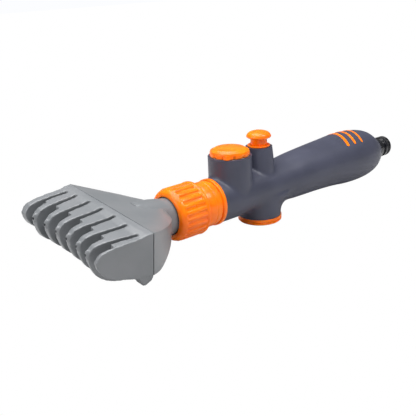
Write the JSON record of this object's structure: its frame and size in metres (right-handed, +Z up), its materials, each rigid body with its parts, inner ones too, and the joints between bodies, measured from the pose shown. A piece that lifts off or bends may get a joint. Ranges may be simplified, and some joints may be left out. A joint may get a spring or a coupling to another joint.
{
  "type": "coat-combing bath wand",
  "caption": "Handheld hose-fed bath wand with a fan-shaped comb head of water jets, soap reservoir, push-button valve and screwed-on swivel head.",
  "frame": {"origin": "centre of the hose inlet's end face, on the wand's axis", "axes": "+X along the wand out of the hose inlet, the comb head towards -X; +Z up through the button and the soap turret"},
  "size_m": [0.328, 0.0942, 0.0685],
  "materials": {
    "soft_grip": "matte soft-touch overmould",
    "orange_plastic": "moulded, semi-gloss",
    "grey_plastic": "moulded, fine satin",
    "black_plastic": "moulded, glossy",
    "core_plastic": "moulded, plain",
    "seal_rubber": "moulded",
    "spring_steel": "drawn wire"
  },
  "bodies": {
    "handle": {"grip_skin": "soft_grip", "grip_stripe_front": "orange_plastic", "grip_stripe_middle": "orange_plastic", "grip_stripe_rear": "orange_plastic", "core_left": "core_plastic", "core_right": "core_plastic", "valve_barrel": "core_plastic", "front_pipe": "core_plastic", "rear_pipe": "core_plastic", "button_bush": "orange_plastic", "soap_cup": "core_plastic", "soap_jet": "black_plastic", "threaded_adapter": "orange_plastic", "coupling_washer": "seal_rubber", "hose_inlet": "black_plastic", "inlet_ring": "seal_rubber", "inlet_screen": "spring_steel", "valve_spring": "spring_steel"},
    "button": {"button": "orange_plastic", "valve_spool": "black_plastic", "spool_rings": "seal_rubber"},
    "neck_ring": {"neck_ring": "black_plastic"},
    "nut": {"union_nut": "orange_plastic"},
    "head": {"comb": "grey_plastic", "head_manifold": "grey_plastic", "head_gasket": "seal_rubber"},
    "valve_cap_seal": {"valve_cap_seal": "seal_rubber"},
    "valve_cap": {"valve_cap": "orange_plastic"},
    "soap_cap_gasket": {"soap_cap_gasket": "seal_rubber"},
    "soap_cap": {"soap_cap": "orange_plastic"}
  },
  "joints": [
    {"name": "button_press", "type": "slide", "parent": "handle", "child": "button", "axis": [0, 0, -1], "range_m": [0, 0.0044], "stiffness_N_per_m": 700, "springref_m": -0.004, "deforming": ["valve_spring"]},
    {"name": "head_release", "type": "slide", "parent": "handle", "child": "neck_ring", "axis": [-1, 0, 0], "range_m": [0, 0.01499]},
    {"name": "nut_spin", "type": "hinge", "parent": "neck_ring", "child": "nut", "pos_m": [-0.233, 0, 0], "axis": [-1, 0, 0], "range_deg": [0, 1800]},
    {"name": "head_swivel", "type": "hinge", "parent": "neck_ring", "child": "head", "pos_m": [-0.24, 0, 0], "axis": [1, 0, 0], "continuous": true},
    {"name": "valve_cap_drop", "type": "slide", "parent": "handle", "child": "valve_cap_seal", "axis": [0, 0, -1], "range_m": [0, 0.0061]},
    {"name": "valve_cap_spin", "type": "hinge", "parent": "valve_cap_seal", "child": "valve_cap", "pos_m": [-0.157, 0, -0.0237], "axis": [0, 0, -1], "range_deg": [0, 1080]},
    {"name": "soap_cap_lift", "type": "slide", "parent": "handle", "child": "soap_cap_gasket", "axis": [0, 0, 1], "range_m": [0, 0.0061]},
    {"name": "soap_cap_spin", "type": "hinge", "parent": "soap_cap_gasket", "child": "soap_cap", "pos_m": [-0.1862, 0, 0.032], "axis": [0, 0, 1], "range_deg": [0, 720]}
  ],
  "couplings": [
    {"joint": "nut_spin", "follows": "head_release", "rad_per_m": 2094.4},
    {"joint": "valve_cap_drop", "follows": "valve_cap_spin", "m_per_rad": 0.00031831},
    {"joint": "soap_cap_lift", "follows": "soap_cap_spin", "m_per_rad": 0.00047746}
  ]
}
